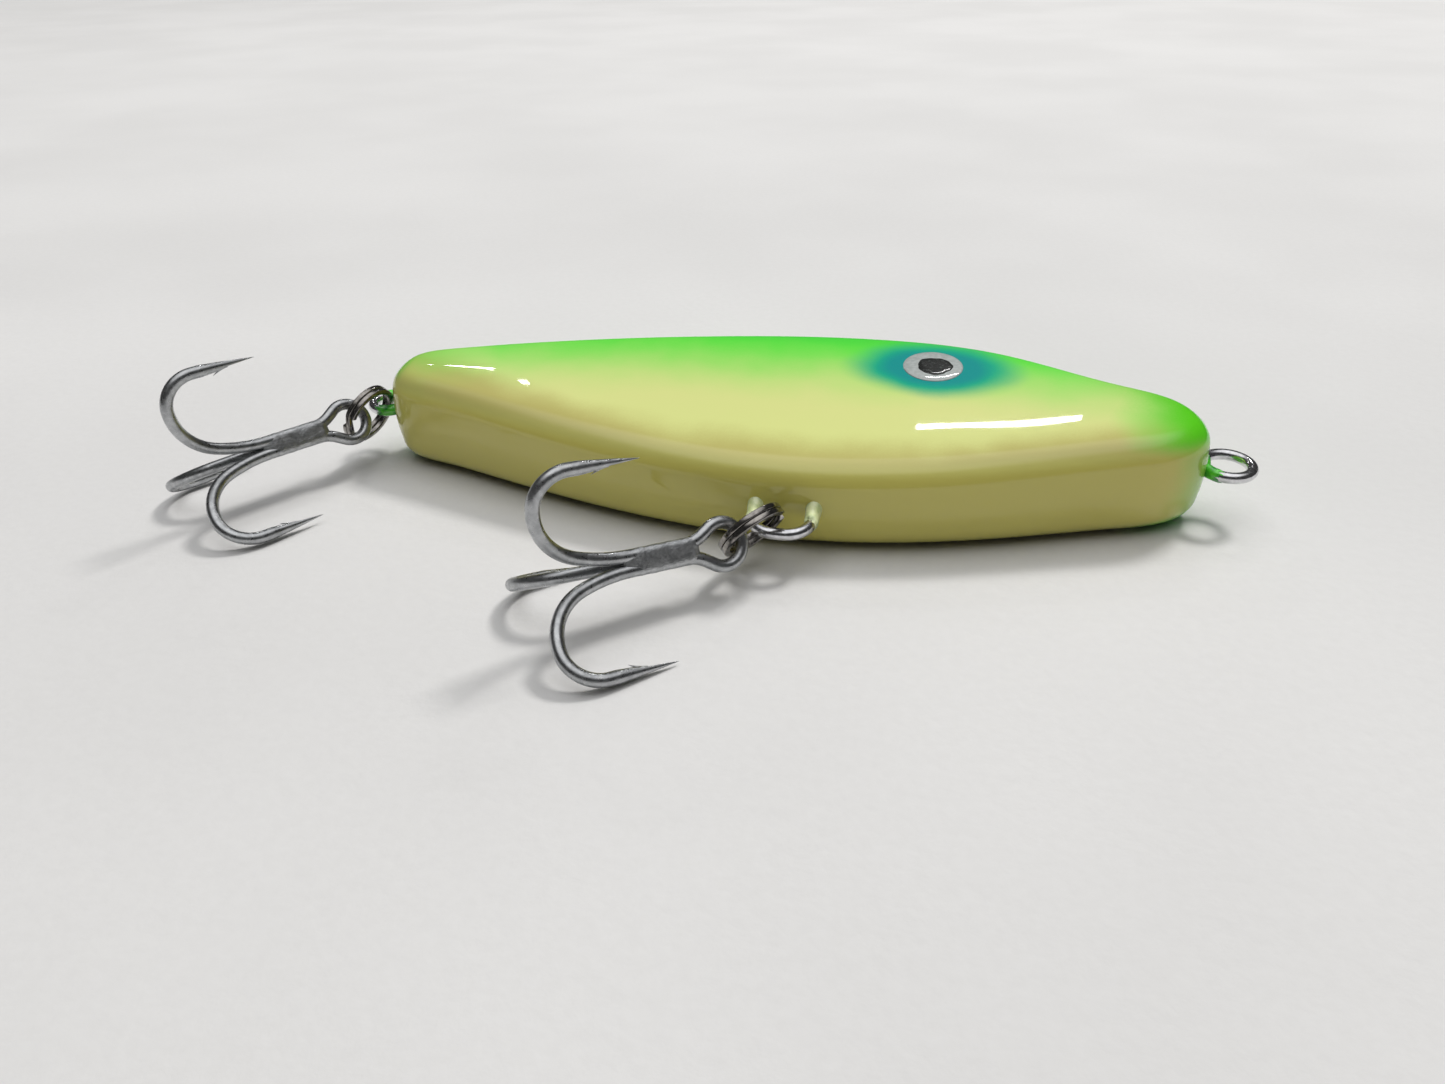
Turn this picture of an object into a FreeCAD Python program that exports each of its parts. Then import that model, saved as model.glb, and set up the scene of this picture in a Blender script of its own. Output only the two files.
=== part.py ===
"""Lipless wooden crankbait with two treble hooks, lying on its left side.

Row frame: origin at the centre of the nose wire eye, +X towards the nose, +Y towards the
back (dorsal edge), +Z up off the surface that the lure lies on.  The lure's own frame has
the same origin and +X, with its mid-plane at z = 0: the body is a wedge, thicker at the
back, so lying on one side rolls it by the wedge's half angle.
"""
import FreeCAD, Part
import math
import os

V = FreeCAD.Vector
DIMENSIONS = (
    ("body_length", 152.0, "6 inch body, wire eyes excluded"),
    ("nose_gap", 4.2, "from the centre of the nose eye back to the nose"),
    ("half_thick", 9.9, "half thickness on the line of the wire eyes"),
    ("wedge_angle", 4.0, "slope of each side: the back is thicker than the belly"),
    ("edge_round", 4.4, "rounding along the back and the belly"),
    ("paint_thick", 0.5, "primer, colour and clear coats together"),
    ("wire_dia", 2.0, "stainless through-wire"),
    ("nose_loop", 4.15, "radius of the nose eye's wire centreline"),
    ("tail_loop", 3.4, "radius of the tail eye's wire centreline"),
    ("hanger_pitch", 9.8, "between the two legs of the belly hanger"),
    ("hanger_reach", 33.6, "from the eye line down to the hanger's wire"),
    ("hanger_corner", 4.2, "bend radius of the hanger's corners"),
    ("eye_dia", 11.0, "painted fish eye"),
    ("pupil_dia", 7.0, "pupil"),
    ("eye_thick", 0.3, "eye disc, let into the paint"),
    ("pupil_thick", 0.15, "pupil, let into the eye disc"),
    ("ring_dia", 12.0, "outside diameter of the split rings"),
    ("ring_wire", 1.1, "each coil of a split ring, square section"),
    ("hook_wire", 2.14, "treble hook wire"),
    ("eye_loop", 3.5, "radius of a treble's eye, wire centreline"),
    ("lead_dia", 8.0, "ballast slugs"),
    ("lead_length", 10.0, "ballast slugs"),
)

doc = FreeCAD.newDocument("lure")


def make_sheet():
    sheet = doc.addObject("Spreadsheet::Sheet", "sizes")
    for row, (alias, value, note) in enumerate(DIMENSIONS, start=1):
        sheet.set("A%d" % row, alias)
        sheet.set("B%d" % row, str(value))
        sheet.set("C%d" % row, note)
        sheet.setAlias("B%d" % row, alias)
    doc.recompute()
    return sheet


sizes = make_sheet()
SLOPE = math.tan(math.radians(sizes.wedge_angle))
LIE = FreeCAD.Placement(V(0, 0, 0), FreeCAD.Rotation(V(1, 0, 0), sizes.wedge_angle))
NOSE_X = -sizes.nose_gap
TAIL_X = NOSE_X - sizes.body_length
EYE_SPOT = V(-52.1, 10.3, 0)
PUPIL_SHIFT = (0.6, -0.4)
LEAD_SPOTS = (("front", -50.0, -19.5), ("rear", -108.0, -18.3))

# The through-wire: half the gap between two legs that run side by side, where the hanger and
# the tail eye are, the bends that open into each eye, the bend into each hanger leg, and the
# ends tucked back into the wood.
HALF_LEG = 1.15
HANGER_X = -74.1
TAIL_EYE = V(-159.1, 0, 0)
NOSE_FILLET = 2.5
TAIL_FILLET = 2.0
LEG_BEND = 6.0
WIRE_TUCK = 9.0

# Cones of paint round the wires: radius at the body, radius at the end, and length.  The two
# end ones start sunk into the body, and the hanger's start at a height below the eye line.
NOSE_COLLAR = (3.9, 2.1, 3.4)
TAIL_COLLAR = (3.9, 2.6, 2.2)
HANGER_COLLAR = (1.75, 1.22, 4.6)
COLLAR_SINK = 1.5
HANGER_COLLAR_TOP = -25.4

# A treble's wires, in its own frame: where the bends start, the bends from shank to arm, the
# arm's round part, and the point's cone.
HOOK_RUN = 19.2
HOOK_BENDS = ((26.0, 20.0), (9.7, 70.0), (5.5, 90.0))
POINT_RUN = 1.8
POINT_LENGTH = 9.2
POINT_TIP_RADIUS = 0.1
# The barb's root and tip: distance past the start of the point's cone, and height towards the shank.
BARB_ROOT = (4.4, 0.3)
BARB_TIP = (2.0, 1.65)
BARB_ROOT_RADIUS = 0.5
BARB_TIP_RADIUS = 0.06
# The shanks' distance from the treble's axis, and that axis's distance below the eye's plane.
HOOK_RADIUS_OUT = 1.285
EYE_PLANE = HOOK_RADIUS_OUT / 2
EYE_CLOSE = 32.0
EYE_NECK = 6.0
SINGLE_START = 9.3
BRAZE_START = 7.4
BRAZE_LENGTH = 9.0
BRAZE_SECTION = ((1.3, 1.0), (1.3, 0), (0.75, -1.75), (-0.75, -1.75), (-1.3, 0), (-1.3, 1.0))
RING_BEVEL = 0.25

# How the tackle lies, in the row frame: the split ring's centre and axis, the spot where the
# treble's eye ends, the heading of its shank in degrees from +X, and the dip of its eye.
TACKLE = (
    ("belly", V(-78.14, -34.86, -1.19), V(0.671, -0.485, -0.561), V(-79.32, -37.58, -1.65), 40.2, 4.6),
    ("tail", V(-160.73, -6.11, 0.13), V(0.883, -0.241, -0.402), V(-160.34, -8.36, 0.49), 56.7, 0.5),
)

# Side view of the body, from the tail's tip over the back to the nose and back along the
# belly, in the lure's own frame.  Distances along X are from the tail's tip.
OUTLINE = (
    (0.0, -1.2), (2.0, 3.9), (9.5, 7.7), (28.0, 12.8), (58.0, 18.7), (92.0, 21.7), (117.0, 18.6),
    (137.0, 10.2), (149.6, 3.6), (152.0, -1.8), (149.4, -7.0), (138.0, -12.9), (114.0, -21.2),
    (84.0, -26.4), (54.0, -23.0), (28.0, -15.6), (9.5, -9.6), (2.0, -6.2),
)


def origin_plane(body, role):
    return [item for item in body.Origin.OriginFeatures if item.Role == role][0]


def new_sketch(body, role, name):
    sketch = body.newObject("Sketcher::SketchObject", name)
    sketch.AttachmentSupport = [(origin_plane(body, role), "")]
    sketch.MapMode = "FlatFace"
    return sketch


def closed_lines(sketch, points):
    for start, end in zip(points, points[1:] + points[:1]):
        sketch.addGeometry(Part.LineSegment(V(*start, 0), V(*end, 0)), False)


def outline_curve(inset):
    """The side view as one closed spline, moved in by the inset."""
    curve = Part.BSplineCurve()
    curve.interpolate(Points=[V(TAIL_X + x, y, 0) for x, y in OUTLINE], PeriodicFlag=True)
    if not inset:
        return curve
    moved = []
    for x, y in OUTLINE:
        point = V(TAIL_X + x, y, 0)
        tangent = curve.tangent(curve.parameter(point))[0]
        moved.append(point + V(tangent.y, -tangent.x, 0) * inset)
    inner = Part.BSplineCurve()
    inner.interpolate(Points=moved, PeriodicFlag=True)
    return inner


def rounded_slab(name, inset):
    """The body's blank: side view padded through, both sides planed to a wedge, edges rounded."""
    body = doc.addObject("PartDesign::Body", name)
    profile = new_sketch(body, "XY_Plane", name + "_outline")
    profile.addGeometry(outline_curve(inset), False)
    pad = body.newObject("PartDesign::Pad", name + "_pad")
    pad.Profile = profile
    pad.Midplane = True
    pad.Length = 40
    doc.recompute()
    wedge = new_sketch(body, "YZ_Plane", name + "_wedge")
    reach = 60.0
    half = sizes.half_thick - inset / math.cos(math.radians(sizes.wedge_angle))
    for side in (1, -1):
        corners = [(-reach, side * (half - reach * SLOPE)), (reach, side * (half + reach * SLOPE)),
                   (reach, side * reach), (-reach, side * reach)]
        closed_lines(wedge, corners)
    planed = body.newObject("PartDesign::Pocket", name + "_planed")
    planed.Profile = wedge
    planed.Type = "ThroughAll"
    planed.Midplane = True
    doc.recompute()
    rims = []
    for number, edge in enumerate(planed.Shape.Edges, start=1):
        box = edge.BoundBox
        if box.XLength > 1.0 or box.YLength > 1.0:
            rims.append("Edge%d" % number)
    rounded = body.newObject("PartDesign::Fillet", name + "_rounded")
    rounded.Base = (planed, rims)
    rounded.setExpression("Radius", "sizes.edge_round - %s" % inset)
    body.Placement = LIE
    doc.recompute()
    return body


def bend_wire(point, heading, normal, moves):
    """Edges of a wire bent in one plane, its end and its last heading.

    A move is one length, for a straight run, or a radius and an angle in degrees, which
    is positive for a bend anticlockwise about the normal.
    """
    edges = []
    for move in moves:
        if len(move) == 1:
            end = point + heading * move[0]
            edges.append(Part.LineSegment(point, end).toShape())
        else:
            radius, angle = move
            turn = 1 if angle > 0 else -1
            centre = point + normal.cross(heading) * (radius * turn)
            half_way = FreeCAD.Rotation(normal, angle / 2)
            full = FreeCAD.Rotation(normal, angle)
            middle = centre + half_way.multVec(point - centre)
            end = centre + full.multVec(point - centre)
            edges.append(Part.Arc(point, middle, end).toShape())
            heading = full.multVec(heading)
        point = end
    return edges, point, heading


def sweep_round(edges, diameter):
    """A round wire swept along tangent edges."""
    path = Part.Wire(Part.__sortEdges__(edges))
    first = path.OrderedEdges[0]
    start = path.OrderedVertexes[0].Point
    at = first.FirstParameter
    direction = first.tangentAt(at)
    if (first.valueAt(at) - start).Length > 1e-6:
        direction = first.tangentAt(first.LastParameter)
    circle = Part.Wire(Part.makeCircle(diameter / 2, start, direction))
    return path.makePipeShell([circle], True, False)


def add_feature(name, shape, placement):
    feature = doc.addObject("Part::Feature", name)
    feature.Shape = shape
    feature.Placement = placement
    return feature


def in_lure(spot, rotation=FreeCAD.Rotation()):
    """A placement given in the lure's own frame, turned to the side that it lies on."""
    return LIE.multiply(FreeCAD.Placement(spot, rotation))


def omega(radius, fillet):
    """Moves for an eye that leaves one leg and returns beside it, and the loop's reach.

    The reach is from where the first leg ends to the centre of the loop.
    """
    across = radius + fillet
    lift = HALF_LEG + fillet
    reach = math.sqrt(across * across - lift * lift)
    splay = math.degrees(math.asin(reach / across))
    moves = [(fillet, -splay), (radius, 180 + 2 * splay), (fillet, -splay)]
    return moves, reach


def harness_shape():
    """One wire: tucked end, nose eye, hanger under the belly, tail eye, tucked end."""
    nose_moves, nose_reach = omega(sizes.nose_loop, NOSE_FILLET)
    tail_moves, tail_reach = omega(sizes.tail_loop, TAIL_FILLET)
    legs = sizes.hanger_reach - sizes.hanger_corner - LEG_BEND + HALF_LEG
    to_hanger = -nose_reach - (HANGER_X + sizes.hanger_pitch / 2) - LEG_BEND
    flat = sizes.hanger_pitch - 2 * sizes.hanger_corner
    to_tail = (HANGER_X - sizes.hanger_pitch / 2 - LEG_BEND) - (TAIL_EYE.x + tail_reach)
    moves = [(WIRE_TUCK,)] + nose_moves + [(to_hanger,), (LEG_BEND, 90), (legs,)]
    moves += [(sizes.hanger_corner, -90), (flat,), (sizes.hanger_corner, -90), (legs,)]
    moves += [(LEG_BEND, 90), (to_tail,)] + tail_moves + [(WIRE_TUCK,)]
    start = V(-nose_reach - WIRE_TUCK, -HALF_LEG, 0)
    edges, _, _ = bend_wire(start, V(1, 0, 0), V(0, 0, 1), moves)
    return sweep_round(edges, sizes.wire_dia)


def cut(name, base, tools):
    """The base less each tool in turn, as booleans of the document."""
    for number, tool in enumerate(tools, start=1):
        last = number == len(tools)
        step = doc.addObject("Part::Cut", name if last else "%s_cut%d" % (name, number))
        step.Base = base
        step.Tool = tool
        base = step
    return base


def common(name, base, tool):
    step = doc.addObject("Part::Common", name)
    step.Base = base
    step.Tool = tool
    return step


def cylinder(name, diameter, height, placement):
    solid = doc.addObject("Part::Cylinder", name)
    solid.setExpression("Radius", "%s / 2" % diameter)
    solid.setExpression("Height", height)
    solid.Placement = placement
    return solid


def eye_parts(side, sign):
    """Eye disc and pupil, let in flush with one side of the body."""
    lean = FreeCAD.Rotation(V(1, 0, 0), sizes.wedge_angle * sign)
    if sign < 0:
        lean = lean.multiply(FreeCAD.Rotation(V(1, 0, 0), 180))
    outward = lean.multVec(V(0, 0, 1))
    surface = V(EYE_SPOT.x, EYE_SPOT.y, sign * (sizes.half_thick + SLOPE * EYE_SPOT.y))
    disc_at = in_lure(surface - outward * sizes.eye_thick, lean)
    along, up = PUPIL_SHIFT
    pupil_spot = surface + V(along, up, sign * up * SLOPE)
    pupil_at = in_lure(pupil_spot - outward * sizes.pupil_thick, lean)
    blank = cylinder("eye_blank_" + side, "sizes.eye_dia", "sizes.eye_thick", disc_at)
    pupil = cylinder("pupil_" + side, "sizes.pupil_dia", "sizes.pupil_thick", pupil_at)
    return blank, cut("eye_disc_" + side, blank, [pupil]), pupil


def collar(name, spot, direction, cone_size):
    """A cone of paint built up round a wire where it leaves the body."""
    cone = doc.addObject("Part::Cone", name)
    cone.Radius1, cone.Radius2, cone.Height = cone_size
    cone.Placement = in_lure(spot, FreeCAD.Rotation(V(0, 0, 1), direction))
    return cone


def split_ring(name, placement):
    """Two flat coils side by side, with a groove between them."""
    body = doc.addObject("PartDesign::Body", name)
    section = new_sketch(body, "XZ_Plane", name + "_section")
    wire = sizes.ring_wire
    outer = sizes.ring_dia / 2
    inner = outer - wire
    bevel = RING_BEVEL
    points = []
    for side, sign in ((outer, -1), (inner, 1)):
        step = [(0, -wire + bevel), (0, -bevel), (bevel, 0), (0, bevel), (0, wire - bevel)]
        face = [(side + sign * depth, along) for depth, along in step]
        ends = [(side + sign * bevel, wire)]
        starts = [(side + sign * bevel, -wire)]
        run = starts + face + ends
        points += run if sign < 0 else run[::-1]
    closed_lines(section, points)
    turned = body.newObject("PartDesign::Revolution", name + "_turned")
    turned.Profile = section
    turned.ReferenceAxis = (section, ["V_Axis"])
    turned.Angle = 360
    body.Placement = placement
    return body


def hook_end(point, radial):
    """Shank, bend and point arm of one hook: its path, its point cone and its barb."""
    along = V(1, 0, 0)
    normal = along.cross(radial)
    moves = [(HOOK_RUN - point.x,)] + list(HOOK_BENDS) + [(POINT_RUN,)]
    edges, end, heading = bend_wire(point, along, normal, moves)
    radius = sizes.hook_wire / 2
    cone = Part.makeCone(radius, POINT_TIP_RADIUS, POINT_LENGTH, end, heading)
    inward = normal.cross(heading)
    root = end + heading * BARB_ROOT[0] + inward * BARB_ROOT[1]
    tip = end + heading * BARB_TIP[0] + inward * BARB_TIP[1]
    barb = Part.makeCone(BARB_ROOT_RADIUS, BARB_TIP_RADIUS, (tip - root).Length, root, tip - root)
    return edges, cone.fuse(barb)


def treble_double():
    """Eye and two hooks bent from one wire, in the treble's frame.

    X runs from the eye's far end towards the bends, and the eye lies in the XY plane.
    """
    paths = []
    points = []
    close_in = math.radians(EYE_CLOSE)
    shank_y = HOOK_RADIUS_OUT * math.sin(math.radians(60))
    drop = sizes.eye_loop * math.cos(close_in) - EYE_NECK * (1 - math.cos(close_in)) - shank_y
    for side in (1, -1):
        moves = [(sizes.eye_loop, -side * (90 + EYE_CLOSE)), (drop / math.sin(close_in),),
                 (EYE_NECK, side * EYE_CLOSE)]
        edges, end, _ = bend_wire(V(0, 0, 0), V(0, side, 0), V(0, 0, 1), moves)
        radial = V(0, side * math.sin(math.radians(60)), math.cos(math.radians(60)))
        more, tip = hook_end(end, radial)
        paths += edges + more
        points.append(tip)
    wire = sweep_round(paths, sizes.hook_wire)
    return wire.multiFuse(points).removeSplitter()


def treble_single():
    start = V(SINGLE_START, 0, -EYE_PLANE - HOOK_RADIUS_OUT)
    path, tip = hook_end(start, V(0, 0, -1))
    return sweep_round(path, sizes.hook_wire).fuse(tip).removeSplitter()


def treble_braze(wires):
    """Braze that fills in between the three shanks, flush with the two of the double hook."""
    corners = [V(BRAZE_START, y, z) for y, z in BRAZE_SECTION]
    block = Part.Face(Part.makePolygon(corners + corners[:1])).extrude(V(BRAZE_LENGTH, 0, 0))
    for wire in wires:
        block = block.cut(wire)
    return max(block.Solids, key=lambda solid: solid.Volume)


def split_ring_placement(centre, axis):
    return FreeCAD.Placement(centre, FreeCAD.Rotation(V(0, 0, 1), axis))


def treble_placement(spot, azimuth, dip):
    """Placement of a treble whose eye's far end is at the spot.

    The azimuth is that of the line from bend to eye, and dip is how far the eye is
    lower.  One hook points straight up, and the other two rest on the surface.
    """
    flat = V(math.cos(math.radians(azimuth)), math.sin(math.radians(azimuth)), 0)
    down = math.radians(dip)
    to_eye = flat * math.cos(down) - V(0, 0, 1) * math.sin(down)
    left = V(0, 0, 1).cross(flat)
    over = to_eye.cross(left)
    single = over * -0.5 + left * math.sin(math.radians(60))
    local_z = single * -1
    local_x = to_eye * -1
    local_y = local_z.cross(local_x)
    matrix = FreeCAD.Matrix(local_x.x, local_y.x, local_z.x, spot.x,
                            local_x.y, local_y.y, local_z.y, spot.y,
                            local_x.z, local_y.z, local_z.z, spot.z, 0, 0, 0, 1)
    return FreeCAD.Placement(matrix)


def build_lure_body(harness):
    outer = rounded_slab("blank_outer", 0.0)
    inner = rounded_slab("blank_inner", sizes.paint_thick)
    blanks = []
    for side, sign in (("right", 1), ("left", -1)):
        blank, disc, pupil = eye_parts(side, sign)
        blanks.append(blank)
        nodes.update({"eye_disc_" + side: disc, "pupil_" + side: pupil})
    nodes["topcoat"] = cut("topcoat", outer, [inner, harness] + blanks)
    return outer, inner


def build_core(inner, harness):
    """Two wooden halves, with the wire and the ballast let into them."""
    pockets = []
    for name, x_at, y_low in LEAD_SPOTS:
        upright = FreeCAD.Rotation(V(0, 0, 1), V(0, 1, 0))
        slug = cylinder(name + "_ballast", "sizes.lead_dia", "sizes.lead_length",
                        in_lure(V(x_at, y_low, 0), upright))
        bore = doc.addObject("Part::Cylinder", name + "_bore")
        bore.Radius = sizes.lead_dia / 2
        bore.Height = 20
        bore.Placement = in_lure(V(x_at, y_low - 20, 0), upright)
        plug = common(name + "_filler_plug", inner, bore)
        nodes.update({name + "_ballast": slug, name + "_filler_plug": plug})
        pockets += [slug, bore]
    for side, sign in (("right", 1), ("left", -1)):
        box = doc.addObject("Part::Box", "side_" + side)
        box.Length = 200
        box.Width = 80
        box.Height = 20
        box.Placement = in_lure(V(-180, -40, 0 if sign > 0 else -20))
        half = common("plain_half_" + side, inner, box)
        nodes["wood_half_" + side] = cut("wood_half_" + side, half, [harness] + pockets)


def build_collars(outer, harness):
    nose = collar("nose_cone", V(NOSE_X - COLLAR_SINK, 0, 0), V(1, 0, 0), NOSE_COLLAR)
    tail = collar("tail_cone", V(TAIL_X + COLLAR_SINK, 0, 0), V(-1, 0, 0), TAIL_COLLAR)
    nodes["nose_collar"] = cut("nose_collar", nose, [outer, harness])
    nodes["tail_collar"] = cut("tail_collar", tail, [outer, harness])
    cones = []
    for name, sign in (("front", 1), ("rear", -1)):
        spot = V(HANGER_X + sign * sizes.hanger_pitch / 2, HANGER_COLLAR_TOP, 0)
        cones.append(collar("hanger_cone_" + name, spot, V(0, -1, 0), HANGER_COLLAR))
    both = doc.addObject("Part::Compound", "hanger_cones")
    both.Links = cones
    nodes["hanger_collars"] = cut("hanger_collars", both, [outer, harness])


def build_tackle():
    """Split rings and trebles, in the row frame."""
    for name, ring_centre, ring_axis, eye_end, azimuth, dip in TACKLE:
        ring_at = split_ring_placement(ring_centre, ring_axis)
        nodes[name + "_split_ring"] = split_ring(name + "_split_ring", ring_at)
        hang = treble_placement(eye_end, azimuth, dip)
        double = treble_double()
        single = treble_single()
        braze = treble_braze((double, single))
        for suffix, shape in (("double_hook", double), ("single_hook", single), ("braze", braze)):
            node = "%s_treble_%s" % (name, suffix)
            nodes[node] = add_feature(node, shape, hang)


def check_document():
    doc.recompute()
    for item in doc.Objects:
        if "Invalid" in item.State or "Error" in item.State:
            raise RuntimeError("%s: %s" % (item.Name, item.State))
    for name, node in nodes.items():
        if node.Shape.isNull() or not node.Shape.isValid() or not node.Shape.Solids:
            raise RuntimeError("bad shape: " + name)


def write_steps():
    os.makedirs("parts", exist_ok=True)
    for name, node in nodes.items():
        node.Label = name
        node.Shape.exportStep("parts/%s.step" % name)
        box = node.Shape.BoundBox
        print("%-26s solids %d volume %9.2f z %.2f..%.2f" % (
            name, len(node.Shape.Solids), node.Shape.Volume, box.ZMin, box.ZMax))


nodes = {}
wire_harness = add_feature("wire_harness", harness_shape(), LIE)
nodes["wire_harness"] = wire_harness
blank_outer, blank_inner = build_lure_body(wire_harness)
build_core(blank_inner, wire_harness)
build_collars(blank_outer, wire_harness)
doc.recompute()
build_tackle()
check_document()
write_steps()
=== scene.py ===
import math

import bmesh
import bpy
import numpy as np
from mathutils import Matrix, Vector, noise


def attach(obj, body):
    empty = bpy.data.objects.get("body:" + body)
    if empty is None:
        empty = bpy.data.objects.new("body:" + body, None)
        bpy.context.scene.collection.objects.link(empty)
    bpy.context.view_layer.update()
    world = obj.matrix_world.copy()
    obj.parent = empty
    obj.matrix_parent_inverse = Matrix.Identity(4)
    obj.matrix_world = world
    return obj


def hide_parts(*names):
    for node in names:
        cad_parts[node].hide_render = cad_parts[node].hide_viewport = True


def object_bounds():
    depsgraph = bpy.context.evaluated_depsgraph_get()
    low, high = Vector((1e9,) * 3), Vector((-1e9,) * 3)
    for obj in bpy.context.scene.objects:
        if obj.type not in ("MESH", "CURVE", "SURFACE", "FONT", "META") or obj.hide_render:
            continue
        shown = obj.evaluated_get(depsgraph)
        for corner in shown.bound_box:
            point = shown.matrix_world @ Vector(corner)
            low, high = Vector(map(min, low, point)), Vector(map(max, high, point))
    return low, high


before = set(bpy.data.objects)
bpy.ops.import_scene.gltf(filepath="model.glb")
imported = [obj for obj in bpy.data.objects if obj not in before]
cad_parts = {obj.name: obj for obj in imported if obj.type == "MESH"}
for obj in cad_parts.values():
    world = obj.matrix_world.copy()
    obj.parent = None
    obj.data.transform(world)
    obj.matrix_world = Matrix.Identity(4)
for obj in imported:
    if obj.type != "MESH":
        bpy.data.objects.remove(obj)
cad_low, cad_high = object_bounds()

# Looks of a lipless wooden crankbait that lies on its left side on a pale table.
# Shapes are worked out in millimetres and become metres when a mesh is made.  The lure's own
# frame has the row frame's origin and +X, and is rolled by LIE because the body is a wedge.
MM = 0.001
WEDGE = math.radians(4.0)
LIE = Matrix.Rotation(WEDGE, 4, "X")
HALF_THICK = 9.9
NOSE_X = -4.2
TAIL_X = -156.2
# The edges of the sides are rounded as in the CAD along the belly, and more sharply along the back.
EDGE_ROUND = 4.4
BACK_EDGE_ROUND = 2.2
SKIN_STATIONS = 230
SPINE_INSET, SPINE_HEIGHT = 14, -2.2
WALL_LEVELS = (0.72, 0.4, 0.0, -0.4, -0.72)
WALL_BULGE = 0.35
CROWN = 0.4
CROWN_REACH = 14.0
EYE_SPOT = (-52.1, 10.3)
EYE_RADIUS, EYE_PROUD = 5.5, 0.16
PUPIL_RADIUS, PUPIL_PROUD = 3.25, 0.04
PUPIL_SHIFT = (0.35, -0.1)
WIRE_RADIUS = 1.0
HALF_LEG = 1.15
NOSE_LOOP, NOSE_FILLET = 4.15, 2.5
TAIL_EYE_X, TAIL_LOOP, TAIL_FILLET = -159.1, 3.4, 2.0
HANGER_X, HANGER_PITCH = -74.1, 9.8
HANGER_PAINT_TOP, HANGER_PAINT_LENGTH = -25.2, 5.4
WIRE_TUCK = 2.0
PAINT_STEP = 0.12
RING_OUTER, RING_SIDE = 6.0, 1.1
HOOK_RADIUS = 1.07
EYE_LOOP, EYE_CLOSE, EYE_NECK = 3.5, 32.0, 6.0
SHANK_OUT = 1.285
HOOK_RUN = 19.2
HOOK_BENDS = ((26.0, 20.0), (9.7, 70.0), (5.5, 90.0))
ARM_LENGTH = 11.0
POINT_LENGTH = 9.6
FACET_LENGTH = 6.2
BARB_ROOT = 5.0
BARB_LENGTH = 2.6
SINGLE_START = 9.3

# Side view of the body, as in the CAD: distance from the tail's tip, and height.
OUTLINE = (
    (0.0, -1.2), (2.0, 3.9), (9.5, 7.7), (28.0, 12.8), (58.0, 18.7), (92.0, 21.7), (117.0, 18.6),
    (137.0, 10.2), (149.6, 3.6), (152.0, -1.8), (149.4, -7.0), (138.0, -12.9), (114.0, -21.2),
    (84.0, -26.4), (54.0, -23.0), (28.0, -15.6), (9.5, -9.6), (2.0, -6.2),
)

# How the tackle lies, as in the CAD: ring centre and axis, where the treble's eye ends, the
# heading of its shank in degrees from +X, and the dip of its eye.
TACKLE = {
    "belly": ((-78.14, -34.86, -1.19), (0.671, -0.485, -0.561), (-79.32, -37.58, -1.65), 40.2, 4.6),
    "tail": ((-160.73, -6.11, 0.13), (0.883, -0.241, -0.402), (-160.34, -8.36, 0.49), 56.7, 0.5),
}


# ---------------------------------------------------------------- shapes

def periodic_spline(points, per_span=80):
    """Points along the smooth closed curve through the given ones, chord-length spaced."""
    points = np.array(points, float)
    count = len(points)
    span = np.linalg.norm(np.roll(points, -1, 0) - points, axis=1)
    before = np.roll(span, 1)
    system = np.zeros((count, count))
    right = np.zeros_like(points)
    for i in range(count):
        system[i, i - 1] = 1 / before[i]
        system[i, i] = 2 / before[i] + 2 / span[i]
        system[i, (i + 1) % count] = 1 / span[i]
        behind = (points[i] - points[i - 1]) / before[i] ** 2
        ahead = (points[(i + 1) % count] - points[i]) / span[i] ** 2
        right[i] = 3 * (behind + ahead)
    slopes = np.linalg.solve(system, right)
    t = np.linspace(0, 1, per_span, endpoint=False)[:, None]
    runs = []
    for i in range(count):
        j = (i + 1) % count
        runs.append((2 * t**3 - 3 * t**2 + 1) * points[i] + (t**3 - 2 * t**2 + t) * span[i] * slopes[i]
                    + (3 * t**2 - 2 * t**3) * points[j] + (t**3 - t**2) * span[i] * slopes[j])
    return np.vstack(runs)


DENSE_OUTLINE = periodic_spline(OUTLINE) + (TAIL_X, 0)


def outline_ring(stations):
    """The outline at matching stations along X: over the back to the nose, then back below."""
    first = DENSE_OUTLINE[:, 0].argmin()
    loop = np.roll(DENSE_OUTLINE, -first, 0)
    turn = loop[:, 0].argmax()
    back = loop[:turn + 1]
    belly = np.vstack([loop[turn:], loop[:1]])[::-1]
    low, high = loop[:, 0].min(), loop[:, 0].max()
    x = low + (high - low) * (1 - np.cos(np.linspace(0, math.pi, stations + 1))) / 2
    upper = np.stack([x, np.interp(x, back[:, 0], back[:, 1])], 1)
    lower = np.stack([x, np.interp(x, belly[:, 0], belly[:, 1])], 1)
    return np.vstack([upper, lower[-2:0:-1]])


def ease(share):
    """Smooth step from 0 to 1."""
    share = np.clip(share, 0, 1)
    return share * share * (3 - 2 * share)


def rim_distance(points):
    """Distance of each point in the side view to the outline."""
    gaps = [np.linalg.norm(DENSE_OUTLINE - point, axis=1).min() for point in np.atleast_2d(points)]
    return np.array(gaps)


def side_height(points, gap):
    """Half thickness of the body: planed wedge, slightly crowned, with a hand-sanded ripple."""
    x, y = points[:, 0], points[:, 1]
    crown = CROWN * (1 - np.minimum(gap, CROWN_REACH) / CROWN_REACH) ** 2
    ripple = 0.02 * np.sin(x / 7.1 + 0.6) * np.sin(y / 5.3 + x / 31) + 0.01 * np.sin(x / 3.9 - y / 4.7)
    return HALF_THICK + math.tan(WEDGE) * y - crown - 0.02 + ripple * np.minimum(gap / 3, 1)


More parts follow.
